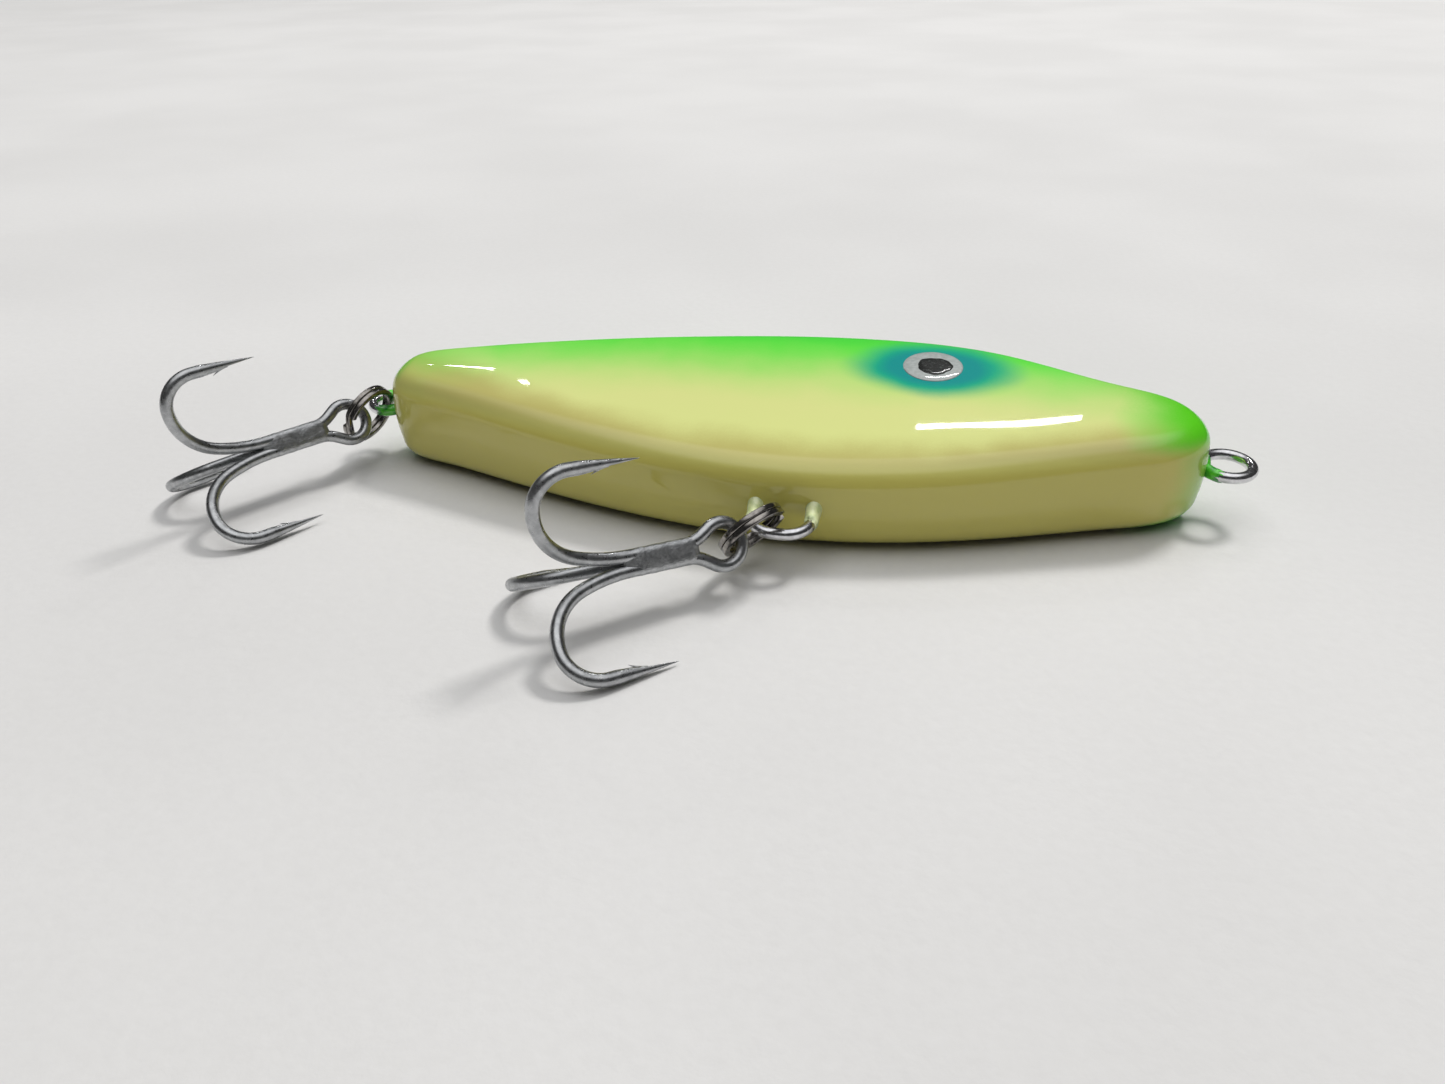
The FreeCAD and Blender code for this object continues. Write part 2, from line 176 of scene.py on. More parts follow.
def loft(rings, caps=True, closed=False):
    """Vertices and faces over rings of equal count; caps close both ends with a fan."""
    rings = np.asarray(rings, float)
    rows, around = rings.shape[:2]
    points = [tuple(point) for point in rings.reshape(-1, 3)]
    faces = []
    for row in range(rows if closed else rows - 1):
        ahead = (row + 1) % rows
        for k in range(around):
            beside = (k + 1) % around
            faces.append((row * around + k, row * around + beside,
                          ahead * around + beside, ahead * around + k))
    if caps and not closed:
        for row, order in ((0, -1), (rows - 1, 1)):
            centre = len(points)
            points.append(tuple(rings[row].mean(0)))
            for k in range(around)[::order]:
                faces.append((row * around + k, row * around + (k + order) % around, centre))
    return points, faces


def join_parts(parts):
    """Several (points, faces) pairs as one."""
    points, faces = [], []
    for part_points, part_faces in parts:
        shift = len(points)
        points += list(part_points)
        faces += [tuple(index + shift for index in face) for face in part_faces]
    return points, faces


def piece(name, shape, material, body, stands_for=(), place=Matrix.Identity(4), sharp=60):
    """A mesh piece from millimetre points in its own frame, put in place and riding on a body."""
    points, faces = shape
    mesh = bpy.data.meshes.new(name)
    mesh.from_pydata([place @ Vector(point) * MM for point in points], [], faces)
    work = bmesh.new()
    work.from_mesh(mesh)
    bmesh.ops.remove_doubles(work, verts=work.verts, dist=1e-7)
    bmesh.ops.recalc_face_normals(work, faces=work.faces)
    for face in work.faces:
        face.smooth = True
    for edge in work.edges:
        if len(edge.link_faces) == 2 and edge.calc_face_angle() > math.radians(sharp):
            edge.smooth = False
    work.to_mesh(mesh)
    work.free()
    made = bpy.data.objects.new(name, mesh)
    bpy.context.scene.collection.objects.link(made)
    made.data.materials.append(material)
    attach(made, body)
    if stands_for:
        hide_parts(*stands_for)
    return made


def bend_path(point, heading, normal, moves, step=0.25):
    """Points along a wire bent in one plane.

    A move is one length, for a straight run, or a radius and an angle in degrees, which is
    positive for a bend anticlockwise about the normal.
    """
    point, heading, normal = Vector(point), Vector(heading), Vector(normal)
    points = [point.copy()]
    for move in moves:
        if len(move) == 1:
            parts = max(2, round(move[0] / step))
            points += [point + heading * move[0] * (k / parts) for k in range(1, parts + 1)]
        else:
            radius, angle = move
            parts = max(4, round(radius * abs(math.radians(angle)) / step))
            centre = point + normal.cross(heading) * math.copysign(radius, angle)
            for k in range(1, parts + 1):
                turn = Matrix.Rotation(math.radians(angle) * k / parts, 3, normal)
                points.append(centre + turn @ (point - centre))
            heading = Matrix.Rotation(math.radians(angle), 3, normal) @ heading
        point = points[-1].copy()
    return np.array(points)


def along_path(path):
    """Distance from the start at each point of a path."""
    return np.concatenate([[0], np.cumsum(np.linalg.norm(np.diff(path, axis=0), axis=1))])


def tube_rings(path, normal, radius, around=28):
    """Rings round a planar path; radius is called with the distance along and the angles."""
    normal = np.array(normal, float)
    reach = along_path(path)
    tangents = np.gradient(path, axis=0)
    tangents /= np.linalg.norm(tangents, axis=1)[:, None]
    angles = np.linspace(0, 2 * math.pi, around, endpoint=False)
    rings = []
    for point, tangent, distance in zip(path, tangents, reach):
        side = np.cross(normal, tangent)
        size = radius(distance, angles)[:, None]
        rings.append(point + size * (np.outer(np.cos(angles), side) + np.outer(np.sin(angles), normal)))
    return np.array(rings)


def grain(point, scale, seed=0.0):
    """Smooth noise between about -1 and 1 at a point in millimetres."""
    return noise.noise(Vector(point) * scale + Vector((seed, seed * 1.7, -seed)))


def roughen(shape, depth, scale, seed=0.0):
    """Moves points by a little noise, for a surface that was dipped or brushed."""
    points, faces = shape
    moved = []
    for point in points:
        point = Vector(point)
        shift = Vector([grain(point, scale, seed + step) for step in (0, 9, 17)])
        moved.append(tuple(point + shift * depth))
    return moved, faces


# ---------------------------------------------------------------- materials

def node(tree, kind, inputs=(), **settings):
    """One shader node; inputs are (socket, value or another node's output) pairs."""
    made = tree.nodes.new(kind)
    for key, value in settings.items():
        setattr(made, key, value)
    for socket, value in dict(inputs).items():
        if isinstance(value, bpy.types.NodeSocket):
            tree.links.new(value, made.inputs[socket])
        else:
            made.inputs[socket].default_value = value
    return made


def new_material(name, **constants):
    """A node material whose shader has these constants; an underscore stands for a space."""
    material = bpy.data.materials.new(name)
    material.use_nodes = True
    tree = material.node_tree
    shader = tree.nodes["Principled BSDF"]
    for socket, value in constants.items():
        shader.inputs[socket.replace("_", " ")].default_value = value
    return material, tree, shader


def stretch(tree, spot, scales):
    """A position with each of its three parts multiplied."""
    return node(tree, "ShaderNodeVectorMath", {0: spot, 1: scales}, operation="MULTIPLY").outputs[0]


def object_spot(tree):
    """Object coordinates in millimetres."""
    spot = node(tree, "ShaderNodeTexCoord").outputs["Object"]
    return stretch(tree, spot, (1 / MM, 1 / MM, 1 / MM))


def calc(tree, operation, first, second=0.0):
    return node(tree, "ShaderNodeMath", {0: first, 1: second}, operation=operation).outputs[0]


def step_up(tree, value, low, high):
    """0 below low and 1 above high, smooth in between."""
    made = node(tree, "ShaderNodeMapRange", {"Value": value, "From Min": low, "From Max": high},
                interpolation_type="SMOOTHSTEP")
    return made.outputs["Result"]


def cloud(tree, spot, scale, detail=3.0, rough=0.5):
    return node(tree, "ShaderNodeTexNoise", {"Vector": spot, "Scale": scale, "Detail": detail,
                                            "Roughness": rough}).outputs["Fac"]


def blend(tree, factor, first, second):
    made = node(tree, "ShaderNodeMix", data_type="RGBA")
    for socket, value in ((0, factor), (6, first), (7, second)):
        if isinstance(value, bpy.types.NodeSocket):
            tree.links.new(value, made.inputs[socket])
        else:
            made.inputs[socket].default_value = value if socket == 0 else (*value, 1.0)
    return made.outputs[2]


def add_bump(tree, shader, height, strength, distance):
    bump = node(tree, "ShaderNodeBump", {"Height": height, "Strength": strength, "Distance": distance})
    tree.links.new(bump.outputs["Normal"], shader.inputs["Normal"])


CREAM = (0.66, 0.70, 0.26)
# Painted shade: the darkened cream near the belly edge of the sides.
CREAM_PAINTED_SHADE = (0.47, 0.43, 0.135)
CREAM_BELLY = (0.66, 0.60, 0.14)
LIME = (0.085, 0.72, 0.045)
GREEN_DEEP = (0.05, 0.62, 0.045)
END_GREEN = (0.09, 0.56, 0.008)
BLUE_TEAL = (0.0, 0.27, 0.255)
GREEN_TEAL = (0.003, 0.39, 0.21)
# Where each sprayed colour starts and is full, in millimetres in the lure's frame.
BACK_FADE, TAIL_FADE, NOSE_FADE = (-7.0, 19.0), (-148.0, -158.0), (-25.0, -8.0)
DEEP_FADE, TAIL_DROP_FADE, TAIL_DROP = (14.0, 24.0), (-95.0, -150.0), 3.5
SIDE_FADE, WALL_SHIFT = (5.5, 8.5), 9.0
# Painted shade: how far above the belly edge the side's cream starts to darken, and where it is darkest.
SHADE_FADE = (12.5, 3.5)
HALO_LONG, HALO_HIGH = 17.0, 11.2
HALO_SHIFT = (0.5, -0.5)
# The halo's edge and its change of tint, as shares of its size.
HALO_FADE, HALO_TINT = (1.05, 0.60), (0.45, 0.72)


def paint_material():
    """Cream, with lime sprayed over back, nose and tail, a blue-green halo round the eye, and painted shade
    darkening the cream along the belly edge of the sides.
    """
    material, tree, shader = new_material("paint", Roughness=0.45, Specular_IOR_Level=0.1,
                                          Coat_Weight=1.0, Coat_Roughness=0.025, Coat_IOR=1.5)
    spot = node(tree, "ShaderNodeVectorRotate", {"Vector": object_spot(tree), "Angle": -WEDGE},
                rotation_type="X_AXIS").outputs[0]
    parts = node(tree, "ShaderNodeSeparateXYZ", {0: spot})
    x, y = parts.outputs[0], parts.outputs[1]
    z = calc(tree, "ABSOLUTE", parts.outputs[2])
    soft = calc(tree, "SUBTRACT", cloud(tree, spot, 0.09, 2.0), 0.5)
    fine = calc(tree, "SUBTRACT", cloud(tree, spot, 2.6, 2.0), 0.5)
    wander = calc(tree, "ADD", calc(tree, "MULTIPLY", soft, 7.0), calc(tree, "MULTIPLY", fine, 1.6))
    on_side = step_up(tree, z, *SIDE_FADE)
    on_wall = calc(tree, "MULTIPLY", calc(tree, "SUBTRACT", 1.0, on_side), WALL_SHIFT)
    lower_at_tail = calc(tree, "MULTIPLY", step_up(tree, x, *TAIL_DROP_FADE), TAIL_DROP)
    back = step_up(tree, calc(tree, "ADD", calc(tree, "ADD", y, wander), lower_at_tail), *BACK_FADE)
    tail_spot = calc(tree, "ADD", calc(tree, "ADD", x, wander), on_wall)
    tail = step_up(tree, calc(tree, "ADD", calc(tree, "MULTIPLY", y, -0.7), tail_spot), *TAIL_FADE)
    nose_spot = calc(tree, "SUBTRACT", calc(tree, "ADD", x, wander), on_wall)
    nose = step_up(tree, calc(tree, "ADD", calc(tree, "MULTIPLY", y, 0.3), nose_spot), *NOSE_FADE)
    green = calc(tree, "MAXIMUM", back, calc(tree, "MAXIMUM", tail, nose))
    lime = blend(tree, step_up(tree, y, *DEEP_FADE), LIME, GREEN_DEEP)
    lime = blend(tree, calc(tree, "MAXIMUM", tail, nose), lime, END_GREEN)
    # The belly's edge is close to a parabola, lowest under the hanger.
    along = calc(tree, "DIVIDE", calc(tree, "ADD", x, 74.0), 56.0)
    belly_line = calc(tree, "ADD", -26.4, calc(tree, "MULTIPLY", calc(tree, "MULTIPLY", along, along), 12.5))
    above = calc(tree, "SUBTRACT", calc(tree, "ADD", y, wander), belly_line)
    # Painted shade: on the sides the cream darkens towards the belly edge, in place of the shading of the
    # rounded edge.
    shade = calc(tree, "MULTIPLY", step_up(tree, above, *SHADE_FADE), on_side)
    cream = blend(tree, on_side, CREAM_BELLY, blend(tree, shade, CREAM, CREAM_PAINTED_SHADE))
    colour = blend(tree, green, cream, lime)
    across = calc(tree, "DIVIDE", calc(tree, "SUBTRACT", x, EYE_SPOT[0] + HALO_SHIFT[0]), HALO_LONG)
    up = calc(tree, "DIVIDE", calc(tree, "SUBTRACT", y, EYE_SPOT[1] + HALO_SHIFT[1]), HALO_HIGH)
    ring = calc(tree, "POWER", calc(tree, "ADD", calc(tree, "MULTIPLY", across, across),
                                    calc(tree, "MULTIPLY", up, up)), 0.5)
    ring = calc(tree, "ADD", ring, calc(tree, "MULTIPLY", wander, 0.03))
    halo = step_up(tree, ring, *HALO_FADE)
    sprayed = blend(tree, step_up(tree, ring, *HALO_TINT), BLUE_TEAL, GREEN_TEAL)
    colour = blend(tree, halo, colour, sprayed)
    tree.links.new(colour, shader.inputs["Base Color"])
    add_bump(tree, shader, cloud(tree, spot, 0.5, 2.0), 0.05, 0.0004)
    return material


def coated_material(name, light, dark, scale):
    """Paint and clear coat that ran and built up round a wire."""
    material, tree, shader = new_material(name, Roughness=0.3, Coat_Weight=1.0, Coat_Roughness=0.03)
    spot = object_spot(tree)
    tree.links.new(blend(tree, step_up(tree, cloud(tree, spot, scale), 0.38, 0.62), light, dark),
                   shader.inputs["Base Color"])
    add_bump(tree, shader, cloud(tree, spot, 1.2), 0.4, 0.0004)
    return material


def metal_material(name, light, dark, rough_low, rough_high, scale, depth, detail=4.0):
    """Metal whose tone and gloss vary with a fine mottle."""
    material, tree, shader = new_material(name, Metallic=1.0)
    spot = object_spot(tree)
    mottle = cloud(tree, spot, scale, detail, 0.6)
    tree.links.new(blend(tree, step_up(tree, mottle, 0.3, 0.7), dark, light), shader.inputs["Base Color"])
    tone = cloud(tree, spot, scale * 2.3, detail)
    rough = node(tree, "ShaderNodeMapRange", {"Value": tone, "From Min": 0.3, "From Max": 0.7,
                                              "To Min": rough_low, "To Max": rough_high}).outputs["Result"]
    tree.links.new(rough, shader.inputs["Roughness"])
    add_bump(tree, shader, cloud(tree, spot, scale * 3, 3.0), depth, 0.0003)
    return material


def eye_white_material():
    """Greyish white with a faint mottle under the clear coat."""
    material, tree, shader = new_material("eye_white", Roughness=0.35, Coat_Weight=1.0, Coat_Roughness=0.03)
    spot = object_spot(tree)
    mottle = step_up(tree, cloud(tree, spot, 1.4), 0.3, 0.7)
    colour = blend(tree, mottle, (0.30, 0.33, 0.32), (0.40, 0.43, 0.42))
    tree.links.new(colour, shader.inputs["Base Color"])
    add_bump(tree, shader, cloud(tree, spot, 3.0), 0.1, 0.0002)
    return material


def pupil_material():
    """Black with fine glitter under the clear coat."""
    material, tree, shader = new_material("pupil_black", Roughness=0.3, Specular_IOR_Level=0.1,
                                          Coat_Weight=1.0, Coat_Roughness=0.03)
    spot = object_spot(tree)
    flakes = node(tree, "ShaderNodeTexVoronoi", {"Vector": spot, "Scale": 3.2}).outputs["Color"]
    shine = node(tree, "ShaderNodeSeparateColor", {0: flakes}).outputs[0]
    colour = blend(tree, step_up(tree, shine, 0.86, 0.98), (0.012, 0.013, 0.012), (0.06, 0.07, 0.065))
    tree.links.new(colour, shader.inputs["Base Color"])
    add_bump(tree, shader, shine, 0.25, 0.0002)
    return material


def wood_material():
    """Straight-grained wood, its grain along the body."""
    material, tree, shader = new_material("core_wood", Roughness=0.6)
    spot = object_spot(tree)
    rings = cloud(tree, stretch(tree, spot, (0.05, 0.8, 0.8)), 0.8, 5.0)
    colour = blend(tree, step_up(tree, rings, 0.35, 0.65), (0.62, 0.44, 0.25), (0.42, 0.27, 0.13))
    tree.links.new(colour, shader.inputs["Base Color"])
    add_bump(tree, shader, rings, 0.2, 0.0005)
    return material


def floor_material():
    """Matt pale board with a faint mottle."""
    material, tree, shader = new_material("table", Roughness=0.8, Specular_IOR_Level=0.15)
    spot = object_spot(tree)
    broad = step_up(tree, cloud(tree, spot, 0.008, 3.0), 0.3, 0.7)
    colour = blend(tree, broad, (0.60, 0.595, 0.59), (0.64, 0.635, 0.63))
    fibre = step_up(tree, cloud(tree, spot, 0.6, 6.0), 0.2, 0.8)
    colour = blend(tree, calc(tree, "MULTIPLY", fibre, 0.12), colour, (0.50, 0.49, 0.48))
    tree.links.new(colour, shader.inputs["Base Color"])
    add_bump(tree, shader, cloud(tree, spot, 0.35, 5.0), 0.12, 0.001)
    return material


PAINT = paint_material()
COAT_GREEN = coated_material("collar_green", (0.10, 0.62, 0.03), (0.02, 0.26, 0.03), 0.55)
COAT_CREAM = coated_material("collar_cream", (0.74, 0.80, 0.46), (0.52, 0.62, 0.30), 0.6)
STEEL = metal_material("stainless_wire", (0.72, 0.72, 0.74), (0.55, 0.55, 0.57), 0.12, 0.28, 0.9, 0.06)
NICKEL = metal_material("black_nickel", (0.34, 0.32, 0.30), (0.18, 0.17, 0.16), 0.10, 0.24, 0.8, 0.05)
TIN = metal_material("tinned_hook", (0.50, 0.51, 0.52), (0.36, 0.37, 0.38), 0.24, 0.40, 0.7, 0.04)
BRAZE = metal_material("braze", (0.54, 0.55, 0.56), (0.38, 0.39, 0.40), 0.30, 0.52, 1.1, 0.30, 6.0)
EYE_WHITE = eye_white_material()
PUPIL = pupil_material()
WOOD = wood_material()
LEAD = metal_material("lead", (0.34, 0.35, 0.37), (0.20, 0.21, 0.23), 0.45, 0.6, 0.5, 0.2)
FILLER = coated_material("filler", (0.70, 0.62, 0.46), (0.56, 0.49, 0.36), 0.4)


# ---------------------------------------------------------------- the body

def body_skin():
    """Painted skin: rows from the right side's spine over the rim and round to the left side."""
    ring = outline_ring(SKIN_STATIONS)
    ahead = np.roll(ring, -1, 0) - np.roll(ring, 1, 0)
    ahead /= np.linalg.norm(ahead, axis=1)[:, None]
    inward = np.stack([ahead[:, 1], -ahead[:, 0]], 1)
    steps = np.concatenate([np.arange(SKIN_STATIONS + 1), np.arange(SKIN_STATIONS - 1, 0, -1)])
    share = steps / SKIN_STATIONS
    spine_length = NOSE_X - TAIL_X - 2 * SPINE_INSET
    spine = np.stack([TAIL_X + SPINE_INSET + share * spine_length, np.full(len(share), SPINE_HEIGHT)], 1)
    edge_round = EDGE_ROUND + (BACK_EDGE_ROUND - EDGE_ROUND) * ease((ring[:, 1] + 2) / 10)
    rim = ring + inward * edge_round[:, None]
    side = []
    for u in np.linspace(1, 0, 15)[:-1]:
        flat = rim * (1 - u) + spine * u
        side.append(np.column_stack([flat, side_height(flat, rim_distance(flat))]))
    for angle in np.linspace(90, 0, 11):
        gap = edge_round * (1 - math.cos(math.radians(angle)))
        flat = ring + inward * gap[:, None]
        top = side_height(flat, gap)
        drop = edge_round * (1 - math.sin(math.radians(angle)))
        side.append(np.column_stack([flat, top - drop]))
    edge = side[-1]
    wall = []
    for level in WALL_LEVELS:
        bulge = WALL_BULGE * (1 - level**2)
        wall.append(np.column_stack([ring - inward * bulge, edge[:, 2] * level]))
    under = [row * (1, 1, -1) for row in side[::-1]]
    return loft(side + wall + under, caps=False)


def disc(spot, radius, proud, side, outline=None):
    """A thin disc that follows the body's side; outline gives the radius at each angle."""
    angles = np.linspace(0, 2 * math.pi, 72, endpoint=False)
    reach = np.full(72, radius) if outline is None else outline(angles)
    rows = []
    for share, lift in ((1.0, -0.25), (1.0, proud * 0.45), (0.985, proud * 0.8), (0.955, proud),
                        (0.7, proud), (0.4, proud), (0.12, proud)):
        flat = np.stack([spot[0] + share * reach * np.cos(angles),
                         spot[1] + share * reach * np.sin(angles)], 1)
        height = side_height(flat, rim_distance(flat)) + lift
        rows.append(np.column_stack([flat, side * height]))
    return loft(rows, caps=True)


def pupil_outline(angles):
    """Radius of the hand-painted pupil, slightly uneven."""
    wobble = 0.12 * np.sin(3 * angles + 0.4) + 0.09 * np.sin(5 * angles + 2.1) + 0.05 * np.sin(11 * angles)
    return PUPIL_RADIUS + wobble


def build_body():
    piece("painted_skin", body_skin(), PAINT, "lure", ["topcoat"], LIE)
    for name, side, proud in (("right", 1, EYE_PROUD), ("left", -1, 0.0)):
        piece("fish_eye_" + name, disc(EYE_SPOT, EYE_RADIUS, proud, side), EYE_WHITE, "lure",
              ["eye_disc_" + name], LIE)
        spot = (EYE_SPOT[0] + PUPIL_SHIFT[0], EYE_SPOT[1] + PUPIL_SHIFT[1])
        pupil = disc(spot, PUPIL_RADIUS, proud + PUPIL_PROUD, side, pupil_outline)
        piece("fish_pupil_" + name, pupil, PUPIL, "lure", ["pupil_" + name], LIE)


# ---------------------------------------------------------------- paint on the wires

def omega(radius, fillet):
    """Moves for a wire eye whose two legs run side by side, and its reach from the legs."""
    across = radius + fillet
    reach = math.sqrt(across**2 - (HALF_LEG + fillet) ** 2)
    splay = math.degrees(math.asin(reach / across))
    return [(fillet, -splay), (radius, 180 + 2 * splay), (fillet, -splay)], reach


def sleeve(path, normal, thick, flare, ragged, seed, lift=0.0):
    """Paint round a wire: it flares at the body's end, most on top, and stops in a ragged edge."""
    length = along_path(path)[-1]

    def radius(distance, angles):
        round_wire = np.stack([np.cos(angles), np.sin(angles)], 1)
        tooth = np.array([grain((2 * a, 2 * b, 0), 1.1, seed) for a, b in round_wire])
        end = length - ragged * (1 + tooth * 1.6)
        left = np.clip((end - distance) / 0.55, 0, 1)
        run = np.array([grain((1.5 * a, 1.5 * b, distance), 0.5, seed + 4) for a, b in round_wire])
        coat = thick * (1 + 0.45 * run) + flare * math.exp(-distance / 1.1)
        coat = coat + lift * math.exp(-distance / 2.4) * np.maximum(np.sin(angles), 0) ** 1.5
        return WIRE_RADIUS - 0.04 + (coat + 0.04) * np.sqrt(left)

    rings = tube_rings(path, normal, radius, 40)
    return loft(rings)


def cut_path(path, start, end):
    """The stretch of a path between two distances along it."""
    reach = along_path(path)
    inside = (reach >= start) & (reach <= end)
    return path[inside]


def mound(x_at, direction, radii, seed):
    """Soft cone of paint where the wires leave the body."""
    rows = []
    angles = np.linspace(0, 2 * math.pi, 44, endpoint=False)
    for share in np.linspace(0, 1, 14):
        size = radii[1] + (radii[0] - radii[1]) * (1 - share) ** 2.2
        if share > 0.8:
            size *= math.sqrt(max(0.02, 1 - ((share - 0.8) / 0.2) ** 2))
        lumps = np.array([1 + 0.10 * grain((math.cos(a), math.sin(a), share * 2), 1.3, seed) for a in angles])
        ring = np.stack([np.full(44, x_at + direction * share * radii[2]),
                         1.12 * size * lumps * np.cos(angles), 0.92 * size * lumps * np.sin(angles)], 1)
        rows.append(ring)
    return loft(rows)


def build_wire_paint():
    up = (0, 0, 1)
    moves, reach = omega(NOSE_LOOP, NOSE_FILLET)
    start = (-reach - WIRE_TUCK, -HALF_LEG, 0)
    path = bend_path(start, (1, 0, 0), up, [(WIRE_TUCK,)] + moves + [(WIRE_TUCK,)], PAINT_STEP)
    parts = [mound(NOSE_X - 1.6, 1, (3.6, 1.9, 3.0), 3.0)]
    parts.append(sleeve(cut_path(path, 1.0, 7.6), up, 0.16, 0.5, 0.9, 5.0))
    parts.append(sleeve(cut_path(path[::-1], 1.0, 6.0), up, 0.16, 0.5, 0.9, 8.0))
    piece("nose_paint", join_parts(parts), COAT_GREEN, "lure", ["nose_collar"], LIE)
    moves, reach = omega(TAIL_LOOP, TAIL_FILLET)
    start = (TAIL_EYE_X + reach + WIRE_TUCK, HALF_LEG, 0)
    path = bend_path(start, (-1, 0, 0), up, [(WIRE_TUCK,)] + moves + [(WIRE_TUCK,)], PAINT_STEP)
    parts = [mound(TAIL_X + 1.6, -1, (3.6, 2.0, 2.9), 11.0)]
    parts.append(sleeve(cut_path(path, 1.0, 10.6), up, 0.13, 0.5, 0.7, 13.0))
    parts.append(sleeve(cut_path(path[::-1], 1.0, 8.6), up, 0.12, 0.5, 0.7, 17.0))
    piece("tail_paint", join_parts(parts), COAT_GREEN, "lure", ["tail_collar"], LIE)
    parts = []
    for seed, sign in ((21.0, 1), (26.0, -1)):
        x_at = HANGER_X + sign * HANGER_PITCH / 2
        path = bend_path((x_at, HANGER_PAINT_TOP, 0), (0, -1, 0), up, [(HANGER_PAINT_LENGTH,)], PAINT_STEP)
        parts.append(sleeve(path, up, 0.24, 0.3, 0.4, seed, 1.5))
    piece("hanger_paint", join_parts(parts), COAT_CREAM, "lure", ["hanger_collars"], LIE)


# ---------------------------------------------------------------- rings and trebles

def split_ring():
    """One flat wire wound twice round, stepping over beside its own two ends."""
    section = []
    half_wide, half_high, corner = RING_SIDE / 2, 0.5, 0.2
    for cx, cy, first in ((1, 1, 0), (-1, 1, 90), (-1, -1, 180), (1, -1, 270)):
        for angle in (0, 30, 60, 90):
            turn = math.radians(first + angle)
            section.append((cx * (half_wide - corner) + corner * math.cos(turn),
                            cy * (half_high - corner) + corner * math.sin(turn)))
    section = np.array(section)
    centre = RING_OUTER - RING_SIDE / 2
    step = math.radians(20)
    rings = []
    for turn in np.linspace(step * 0.6, 4 * math.pi - step * 0.6, 300):
        cross = (turn - 2 * math.pi) / step
        share = min(1, max(0, 0.5 + cross / 2))
        level = -0.53 + 1.06 * share * share * (3 - 2 * share)
        outward = np.array([math.cos(turn), math.sin(turn), 0])
        rings.append([outward * (centre + a) + np.array([0, 0, level + b]) for a, b in section])
    return loft(rings)


def arm_moves(start_x):
    return [(HOOK_RUN - start_x,)] + list(HOOK_BENDS) + [(ARM_LENGTH,)]


def hook_rings(path, normal):
    """Round wire that tapers over the arm to a point, ground flat on the side of the shank."""
    length = along_path(path)[-1]

    def radius(distance, angles):
        to_tip = length - distance
        size = (HOOK_RADIUS - 0.03) * min(1.0, (to_tip / POINT_LENGTH) ** 0.9) + 0.03
        cut = 1 - 0.62 * ease((FACET_LENGTH - to_tip) / 1.2)
        return np.minimum(size, size * cut / np.maximum(np.cos(angles), 0.05))

    return tube_rings(path, normal, radius, 40)


def barb(path, normal):
    """A sliver raised off the inside of the arm, pointing back towards the bend."""
    reach = along_path(path)
    length = reach[-1]
    root = np.array([np.interp(length - BARB_ROOT, reach, path[:, k]) for k in range(3)])
    ahead = np.array([np.interp(length - BARB_ROOT + 0.4, reach, path[:, k]) for k in range(3)]) - root
    ahead /= np.linalg.norm(ahead)
    normal = np.array(normal, float)
    inward = np.cross(normal, ahead)
    angles = np.linspace(0, 2 * math.pi, 14, endpoint=False)
    rings = []
    for share in np.linspace(0, 1, 12):
        centre = root - ahead * BARB_LENGTH * share + inward * (0.12 + 1.3 * share**1.3)
        wide = 0.52 * (1 - share) + 0.03
        thick = 0.42 * (1 - share) + 0.02
        rings.append([centre + normal * wide * math.cos(a) + inward * thick * math.sin(a) for a in angles])
    return loft(rings)


def hook_wire(distance, angles):
    """The hook wire's radius where it is plain."""
    return np.full(len(angles), HOOK_RADIUS)


def treble_wires():
    """The double hook with its eye, and the single hook, in the treble's frame."""
    close_in = math.radians(EYE_CLOSE)
    shank_y = SHANK_OUT * math.sin(math.radians(60))
    drop = EYE_LOOP * math.cos(close_in) - EYE_NECK * (1 - math.cos(close_in)) - shank_y
    double = []
    for side in (1, -1):
        moves = [(EYE_LOOP, -side * (90 + EYE_CLOSE)), (drop / math.sin(close_in),),
                 (EYE_NECK, side * EYE_CLOSE)]
        neck = bend_path((0, 0, 0), (0, side, 0), (0, 0, 1), moves)
        radial = Vector((0, side * math.sin(math.radians(60)), math.cos(math.radians(60))))
        normal = Vector((1, 0, 0)).cross(radial)
        double.append(loft(tube_rings(neck, (0, 0, 1), hook_wire, 32)))
        arm = bend_path(neck[-1], (1, 0, 0), normal, arm_moves(neck[-1][0]))
        double += [loft(hook_rings(arm, normal)), barb(arm, normal)]
    normal = Vector((1, 0, 0)).cross(Vector((0, 0, -1)))
    arm = bend_path((SINGLE_START, 0, -SHANK_OUT * 1.5), (1, 0, 0), normal, arm_moves(SINGLE_START))
    single = [loft(hook_rings(arm, normal)), barb(arm, normal)]
    return join_parts(double), join_parts(single)


def braze_web():
    """Braze that makes one flat, lumpy shank of the three wires."""
    section = np.array([
        (2.2, 0.0), (2.12, 0.5), (1.75, 0.95), (1.1, 1.14), (0.4, 1.17), (-0.4, 1.17), (-1.1, 1.14),
        (-1.75, 0.95), (-2.12, 0.5), (-2.2, 0.0), (-1.9, -0.75), (-1.4, -1.5), (-0.95, -2.2),
        (-0.45, -2.6), (0.45, -2.6), (0.95, -2.2), (1.4, -1.5), (1.9, -0.75)])
    fine = periodic_spline(section, 3)
    start, end = 7.8, 20.6
    rings = []
    for x in np.linspace(start, end, 60):
        near = min(1, (x - start) / 1.1, (end - x) / 2.6)
        size = 0.45 + 0.55 * math.sqrt(max(0, near))
        rings.append([(x, y * size, -0.1 + (z + 0.1) * size) for y, z in fine])
    return roughen(loft(rings), 0.07, 0.8, 31.0)


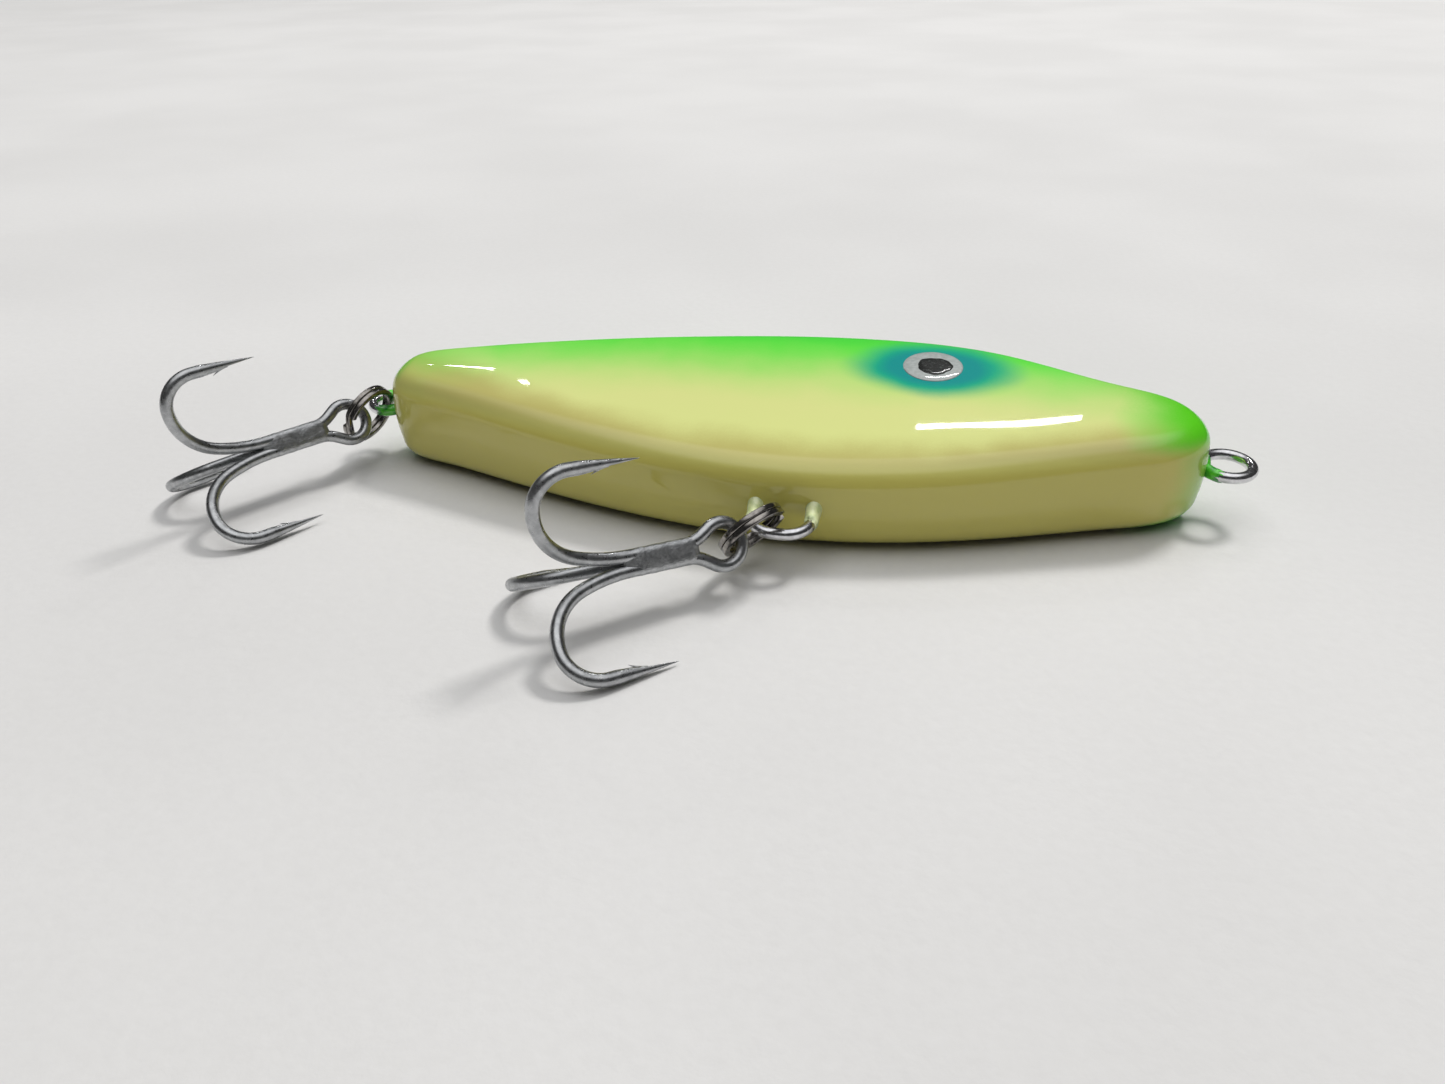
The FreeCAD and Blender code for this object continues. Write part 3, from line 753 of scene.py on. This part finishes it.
def treble_place(name):
    """The treble's frame in the row frame, as in the CAD."""
    _, _, spot, azimuth, dip = TACKLE[name]
    heading, down = math.radians(azimuth), math.radians(dip)
    flat = Vector((math.cos(heading), math.sin(heading), 0))
    to_eye = flat * math.cos(down) - Vector((0, 0, 1)) * math.sin(down)
    left = Vector((0, 0, 1)).cross(flat)
    single = to_eye.cross(left) * -0.5 + left * math.sin(math.radians(60))
    local_z = -single
    local_x = -to_eye
    local_y = local_z.cross(local_x)
    turn = Matrix((local_x, local_y, local_z)).transposed().to_4x4()
    return Matrix.Translation(Vector(spot)) @ turn


def ring_place(name, spin):
    centre, axis = TACKLE[name][:2]
    turn = Vector((0, 0, 1)).rotation_difference(Vector(axis)).to_matrix().to_4x4()
    return Matrix.Translation(Vector(centre)) @ turn @ Matrix.Rotation(math.radians(spin), 4, "Z")


def build_tackle():
    double, single = treble_wires()
    for name, spin in (("belly", 80), ("tail", 250)):
        body = name + "_treble"
        place = treble_place(name)
        piece(name + "_ring", split_ring(), NICKEL, name + "_ring", [name + "_split_ring"],
              ring_place(name, spin), 40)
        piece(name + "_hook_pair", double, TIN, body, [body + "_double_hook"], place)
        piece(name + "_hook_single", single, TIN, body, [body + "_single_hook"], place)
        piece(name + "_hook_braze", braze_web(), BRAZE, body, [body + "_braze"], place)


def dress_cad_nodes():
    """Materials for the CAD nodes that stay."""
    looks = {"wire_harness": STEEL, "wood_half_right": WOOD, "wood_half_left": WOOD, "front_ballast": LEAD,
             "rear_ballast": LEAD, "front_filler_plug": FILLER, "rear_filler_plug": FILLER}
    for name, material in looks.items():
        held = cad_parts[name]
        held.data.materials.clear()
        held.data.materials.append(material)
        for slot in held.material_slots:
            slot.material = material


# ---------------------------------------------------------------- table, light and camera

def aim(thing, target):
    direction = Vector(target) - thing.location
    thing.rotation_euler = direction.to_track_quat("-Z", "Y").to_euler()


def area_light(name, towards, distance, size, power, colour, target=(-0.08, 0.0, 0.0), roll=0.0):
    data = bpy.data.lights.new(name, "AREA")
    data.shape = "RECTANGLE"
    data.size, data.size_y = size
    data.energy = power
    data.color = colour
    made = bpy.data.objects.new(name, data)
    bpy.context.scene.collection.objects.link(made)
    made.location = Vector(target) + Vector(towards).normalized() * distance
    aim(made, target)
    turned = made.rotation_euler.to_matrix() @ Matrix.Rotation(math.radians(roll), 3, "Z")
    made.rotation_euler = turned.to_euler()
    return made


TABLE_REACH = 12.0
# Soft lights, unseen in reflections: direction, distance, size, power and colour.
SOFTBOXES = (
    ("key", (0.325, 0.52, 0.79), 6.0, (1.24, 0.92), 208.0, (1.0, 0.985, 0.96)),
    ("fill", (-0.1, 0.25, 1.0), 4.0, (4.0, 4.0), 57.0, (0.98, 0.99, 1.0)),
)
STROKE_DISTANCE, STROKE_TARGET = 1.2, (-0.09, -0.005, 0.01)
# Small bright lights seen as strokes and dots in the clear coat: direction, size, power and roll.
STROKES = (
    ("stroke_nose", (0.095, 0.754, 0.655), (0.20, 0.017), 0.7, 9.0),
    ("stroke_tail", (-0.455, 0.69, 0.565), (0.065, 0.030), 0.3, -30.0),
    ("dot_tail", (-0.50, 0.675, 0.55), (0.014, 0.014), 0.03, 0.0),
    ("dot_low", (-0.405, 0.69, 0.60), (0.012, 0.012), 0.02, 0.0),
)


def build_stage():
    mesh = bpy.data.meshes.new("table_top")
    reach = TABLE_REACH
    level = cad_low.z
    corners = [(-reach, -reach, level), (reach, -reach, level), (reach, reach, level), (-reach, reach, level)]
    mesh.from_pydata(corners, [], [(0, 1, 2, 3)])
    table = bpy.data.objects.new("table_top", mesh)
    table.data.materials.append(floor_material())
    bpy.context.scene.collection.objects.link(table)
    for name, towards, distance, size, power, colour in SOFTBOXES:
        area_light(name, towards, distance, size, power, colour).visible_glossy = False
    for name, towards, size, power, roll in STROKES:
        area_light(name, towards, STROKE_DISTANCE, size, power, (1.0, 1.0, 1.0), STROKE_TARGET, roll)
    world = bpy.data.worlds.new("studio")
    world.use_nodes = True
    tree = world.node_tree
    background = tree.nodes["Background"]
    spot = node(tree, "ShaderNodeTexCoord").outputs["Generated"]
    parts = node(tree, "ShaderNodeSeparateXYZ", {0: spot})
    over = step_up(tree, parts.outputs[2], 0.72, 0.92)
    colour = blend(tree, over, (0.05, 0.05, 0.05), (1.3, 1.3, 1.3))
    tree.links.new(colour, background.inputs["Color"])
    background.inputs["Strength"].default_value = 1.0
    bpy.context.scene.world = world
    bpy.context.scene.view_settings.view_transform = "Standard"


CAMERA_SENSOR, CAMERA_LENS = 36, 26.53
CAMERA_SPOT = (-0.0507, -0.1812, 0.0860)
CAMERA_ROUND, CAMERA_DOWN, CAMERA_ROLL = 12.46, 31, -1.0


def build_camera():
    data = bpy.data.cameras.new("camera")
    data.sensor_width, data.lens = CAMERA_SENSOR, CAMERA_LENS
    data.clip_start, data.clip_end = 0.01, 20
    camera = bpy.data.objects.new("camera", data)
    bpy.context.scene.collection.objects.link(camera)
    turn = (Matrix.Rotation(math.radians(CAMERA_ROUND), 4, "Z")
            @ Matrix.Rotation(math.radians(90 - CAMERA_DOWN), 4, "X")
            @ Matrix.Rotation(math.radians(CAMERA_ROLL), 4, "Z"))
    camera.matrix_world = Matrix.Translation(CAMERA_SPOT) @ turn
    bpy.context.scene.camera = camera


build_body()
build_wire_paint()
build_tackle()
dress_cad_nodes()
build_stage()
build_camera()
